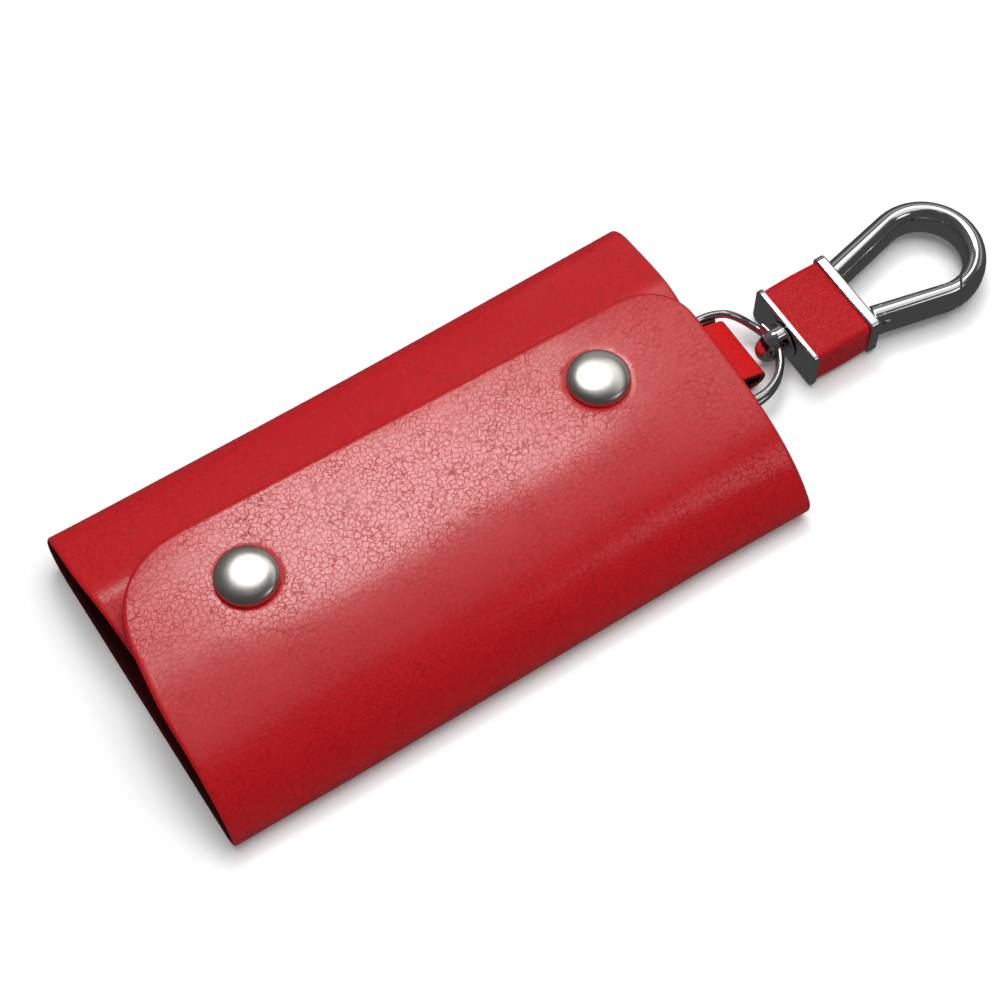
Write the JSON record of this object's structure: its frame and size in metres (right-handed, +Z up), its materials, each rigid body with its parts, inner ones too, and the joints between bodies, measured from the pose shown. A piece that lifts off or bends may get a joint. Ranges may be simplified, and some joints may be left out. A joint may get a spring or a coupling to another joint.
{
  "type": "key case",
  "caption": "Folded leather key case with a snap-down flap, a rack of swivelling key hooks inside and a spring-gate belt hook on a split ring.",
  "frame": {"origin": "middle of the flat back face that the case lies on", "axes": "+X along the case towards the belt hook, +Y towards the front fold, +Z up through the snap caps"},
  "size_m": [0.179, 0.066, 0.0193],
  "materials": {
    "case_leather": "smooth red cowhide with a fine pebbled grain, semi-gloss, raw painted edges",
    "strap_leather": "the same red leather, cut as a narrow strap and wrapped round the hook's block",
    "snap_nickel": "satin nickel plate with soft reflections",
    "rack_steel": "bright nickel-plated steel",
    "ring_steel": "polished nickel-plated spring wire",
    "hook_chrome": "mirror-polished chrome-plated zinc casting",
    "spring_steel": "plain drawn spring wire"
  },
  "bodies": {
    "case_back": {"back_panel": "case_leather", "key_bar": "rack_steel", "bar_rivets": "rack_steel", "rivet_washers": "rack_steel", "hook_tab": "strap_leather", "tab_rivet": "rack_steel"},
    "flap_fold": {"flap_fold": "case_leather"},
    "flap": {"flap": "case_leather", "snap_caps": "snap_nickel", "snap_sockets": "snap_nickel"},
    "front_fold": {"front_fold": "case_leather"},
    "front_panel": {"front_panel": "case_leather", "snap_studs": "snap_nickel", "snap_posts": "snap_nickel"},
    "ring": {"split_ring": "ring_steel"},
    "swivel": {"swivel_eye": "hook_chrome"},
    "hook": {"hook_body": "hook_chrome", "end_cap": "hook_chrome", "leather_band": "strap_leather", "gate_pin": "hook_chrome", "gate_spring": "spring_steel"},
    "gate": {"gate": "hook_chrome"},
    "key_hook_1": {"key_hook_1": "rack_steel"},
    "key_hook_2": {"key_hook_2": "rack_steel"},
    "key_hook_3": {"key_hook_3": "rack_steel"},
    "key_hook_4": {"key_hook_4": "rack_steel"},
    "key_hook_5": {"key_hook_5": "rack_steel"},
    "key_hook_6": {"key_hook_6": "rack_steel"},
    "key_gate_1": {"key_gate_1": "rack_steel"},
    "key_gate_2": {"key_gate_2": "rack_steel"},
    "key_gate_3": {"key_gate_3": "rack_steel"},
    "key_gate_4": {"key_gate_4": "rack_steel"},
    "key_gate_5": {"key_gate_5": "rack_steel"},
    "key_gate_6": {"key_gate_6": "rack_steel"}
  },
  "joints": [
    {"name": "flap_open", "type": "hinge", "parent": "case_back", "child": "flap_fold", "pos_m": [0, -0.03127, 0.00061], "axis": [1, 0, 0], "range_deg": [0, 66]},
    {"name": "flap_lift", "type": "hinge", "parent": "flap_fold", "child": "flap", "pos_m": [0, -0.03295, 0.00439], "axis": [1, 0, 0], "range_deg": [0, 66]},
    {"name": "front_turn", "type": "hinge", "parent": "case_back", "child": "front_fold", "pos_m": [0, 0.03113, 0.00187], "axis": [-1, 0, 0], "range_deg": [0, 57]},
    {"name": "front_lift", "type": "hinge", "parent": "front_fold", "child": "front_panel", "pos_m": [0, 0.03113, 0.01093], "axis": [-1, 0, 0], "range_deg": [0, 57]},
    {"name": "ring_swing", "type": "hinge", "parent": "case_back", "child": "ring", "pos_m": [0.05335, -0.0009, 0.00483], "axis": [0, -1, 0], "range_deg": [-2, 12]},
    {"name": "eye_tilt", "type": "hinge", "parent": "ring", "child": "swivel", "pos_m": [0.07272, -0.0025, 0.00483], "axis": [0, 1, 0], "range_deg": [-20, 20]},
    {"name": "hook_spin", "type": "hinge", "parent": "swivel", "child": "hook", "pos_m": [0.07477, -0.0025, 0.00483], "axis": [1, 0, 0], "continuous": true},
    {"name": "gate_open", "type": "hinge", "parent": "hook", "child": "gate", "pos_m": [0.09237, -0.00873, 0.00483], "axis": [0, 0, 1], "range_deg": [0, 25], "stiffness_Nm_per_rad": 0.03, "springref_deg": -20.05},
    {"name": "key_turn_1", "type": "hinge", "parent": "case_back", "child": "key_hook_1", "pos_m": [0.026, -0.0215, 0.0056], "axis": [1, 0, 0], "continuous": true},
    {"name": "key_gate_press_1", "type": "hinge", "parent": "key_hook_1", "child": "key_gate_1", "pos_m": [0.02435, -0.0231, 0.0056], "axis": [0, 0, -1], "range_deg": [0, 15], "stiffness_Nm_per_rad": 0.0004, "springref_deg": -20.05},
    {"name": "key_turn_2", "type": "hinge", "parent": "case_back", "child": "key_hook_2", "pos_m": [0.026, -0.0129, 0.0056], "axis": [1, 0, 0], "continuous": true},
    {"name": "key_gate_press_2", "type": "hinge", "parent": "key_hook_2", "child": "key_gate_2", "pos_m": [0.02435, -0.0145, 0.0056], "axis": [0, 0, -1], "range_deg": [0, 15], "stiffness_Nm_per_rad": 0.0004, "springref_deg": -20.05},
    {"name": "key_turn_3", "type": "hinge", "parent": "case_back", "child": "key_hook_3", "pos_m": [0.026, -0.0043, 0.0056], "axis": [1, 0, 0], "continuous": true},
    {"name": "key_gate_press_3", "type": "hinge", "parent": "key_hook_3", "child": "key_gate_3", "pos_m": [0.02435, -0.0059, 0.0056], "axis": [0, 0, -1], "range_deg": [0, 15], "stiffness_Nm_per_rad": 0.0004, "springref_deg": -20.05},
    {"name": "key_turn_4", "type": "hinge", "parent": "case_back", "child": "key_hook_4", "pos_m": [0.026, 0.0043, 0.0056], "axis": [1, 0, 0], "continuous": true},
    {"name": "key_gate_press_4", "type": "hinge", "parent": "key_hook_4", "child": "key_gate_4", "pos_m": [0.02435, 0.0027, 0.0056], "axis": [0, 0, -1], "range_deg": [0, 15], "stiffness_Nm_per_rad": 0.0004, "springref_deg": -20.05},
    {"name": "key_turn_5", "type": "hinge", "parent": "case_back", "child": "key_hook_5", "pos_m": [0.026, 0.0129, 0.0056], "axis": [1, 0, 0], "continuous": true},
    {"name": "key_gate_press_5", "type": "hinge", "parent": "key_hook_5", "child": "key_gate_5", "pos_m": [0.02435, 0.0113, 0.0056], "axis": [0, 0, -1], "range_deg": [0, 15], "stiffness_Nm_per_rad": 0.0004, "springref_deg": -20.05},
    {"name": "key_turn_6", "type": "hinge", "parent": "case_back", "child": "key_hook_6", "pos_m": [0.026, 0.0215, 0.0056], "axis": [1, 0, 0], "continuous": true},
    {"name": "key_gate_press_6", "type": "hinge", "parent": "key_hook_6", "child": "key_gate_6", "pos_m": [0.02435, 0.0199, 0.0056], "axis": [0, 0, -1], "range_deg": [0, 15], "stiffness_Nm_per_rad": 0.0004, "springref_deg": -20.05}
  ],
  "couplings": [
    {"joint": "flap_lift", "follows": "flap_open", "ratio": 1},
    {"joint": "front_turn", "follows": "flap_open", "ratio": 0.85},
    {"joint": "front_lift", "follows": "flap_open", "ratio": 0.85}
  ]
}
